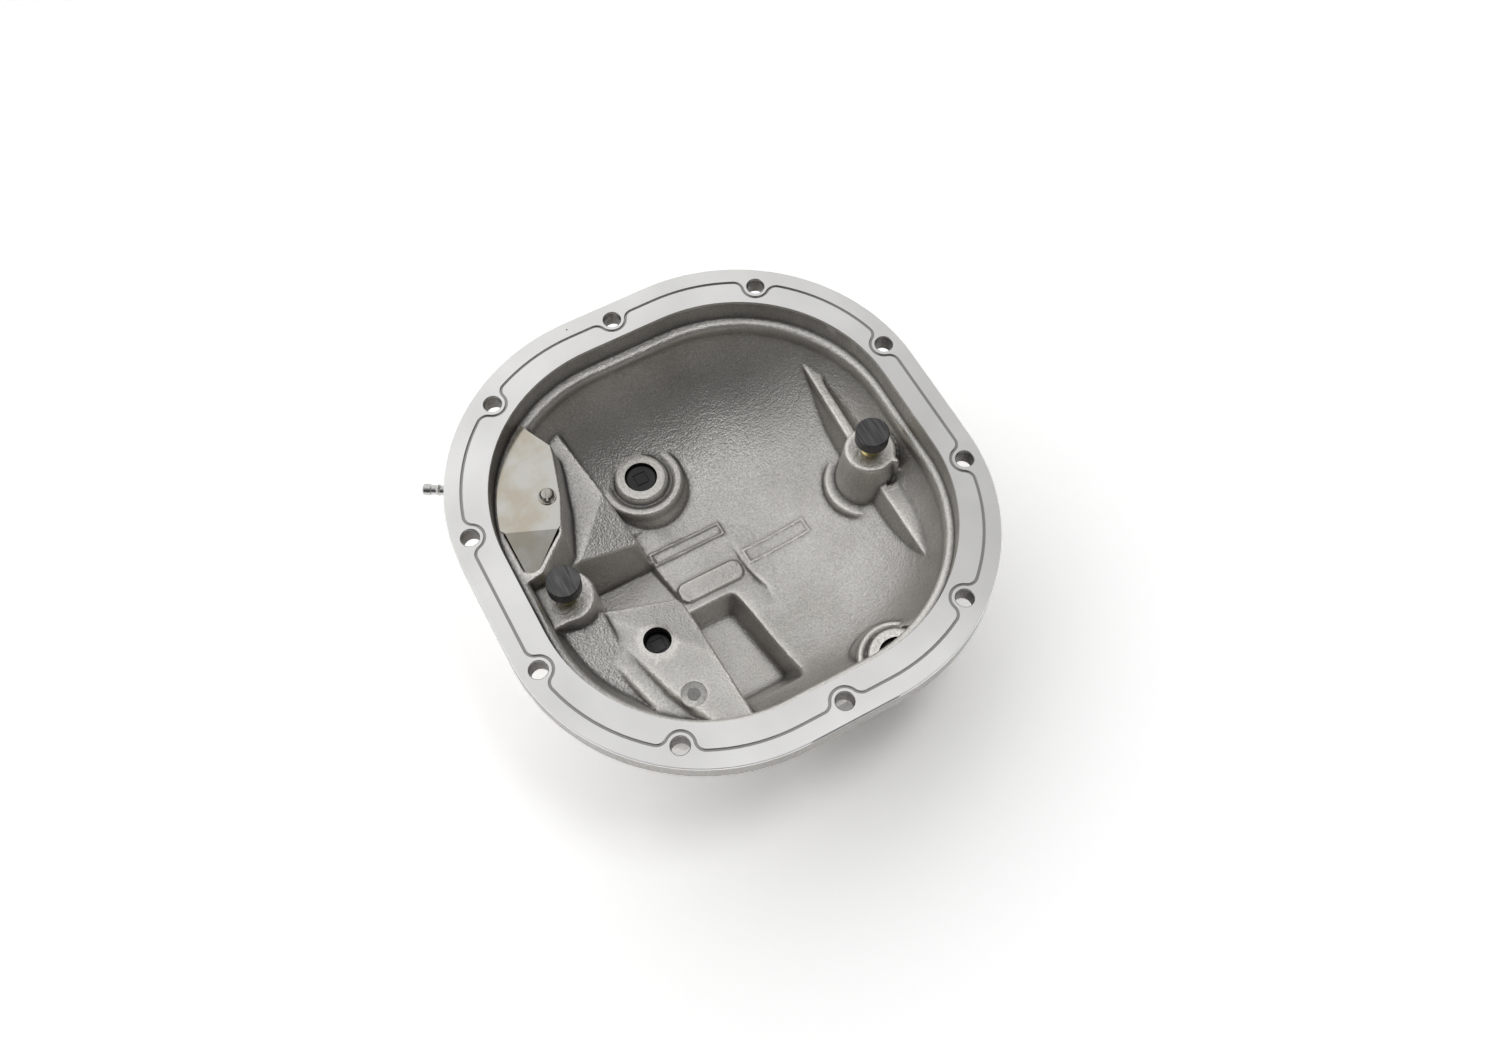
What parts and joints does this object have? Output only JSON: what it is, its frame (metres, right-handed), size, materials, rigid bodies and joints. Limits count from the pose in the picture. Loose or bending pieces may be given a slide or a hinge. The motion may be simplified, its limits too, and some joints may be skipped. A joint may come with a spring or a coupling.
{
  "type": "differential cover",
  "caption": "Cast axle differential cover seen from its inside: bolted flange with a sealing groove, deep ribbed bowl, bearing cap load bolts, screwed plugs and an oil baffle.",
  "frame": {"origin": "centre of the bolt pattern on the machined mating face", "axes": "+Z out of the mating face towards the axle, +Y to the top of the cover on the vehicle, +X to the right seen from inside"},
  "size_m": [0.2484, 0.2558, 0.095],
  "materials": {
    "cast_alloy": "sand cast, with a milled mating face",
    "zinc_steel": "yellow zinc plated",
    "black_steel": "black oxide",
    "plain_steel": "plain",
    "dark_steel": "dark, dry",
    "vent_steel": "turned and bright plated",
    "bright_sheet": "bright rolled sheet"
  },
  "bodies": {
    "root": {"cover_casting": "cast_alloy", "load_bolt_left": "zinc_steel", "load_bolt_right": "zinc_steel", "load_pad_left": "black_steel", "load_pad_right": "black_steel", "jam_washer_left": "plain_steel", "jam_washer_right": "plain_steel", "jam_nut_left": "zinc_steel", "jam_nut_right": "zinc_steel", "fill_plug": "dark_steel", "drain_plug": "dark_steel", "sensor_plug": "dark_steel", "vent_fitting": "vent_steel", "baffle_plate": "bright_sheet", "baffle_washer": "plain_steel", "baffle_screw": "plain_steel"}
  },
  "joints": []
}
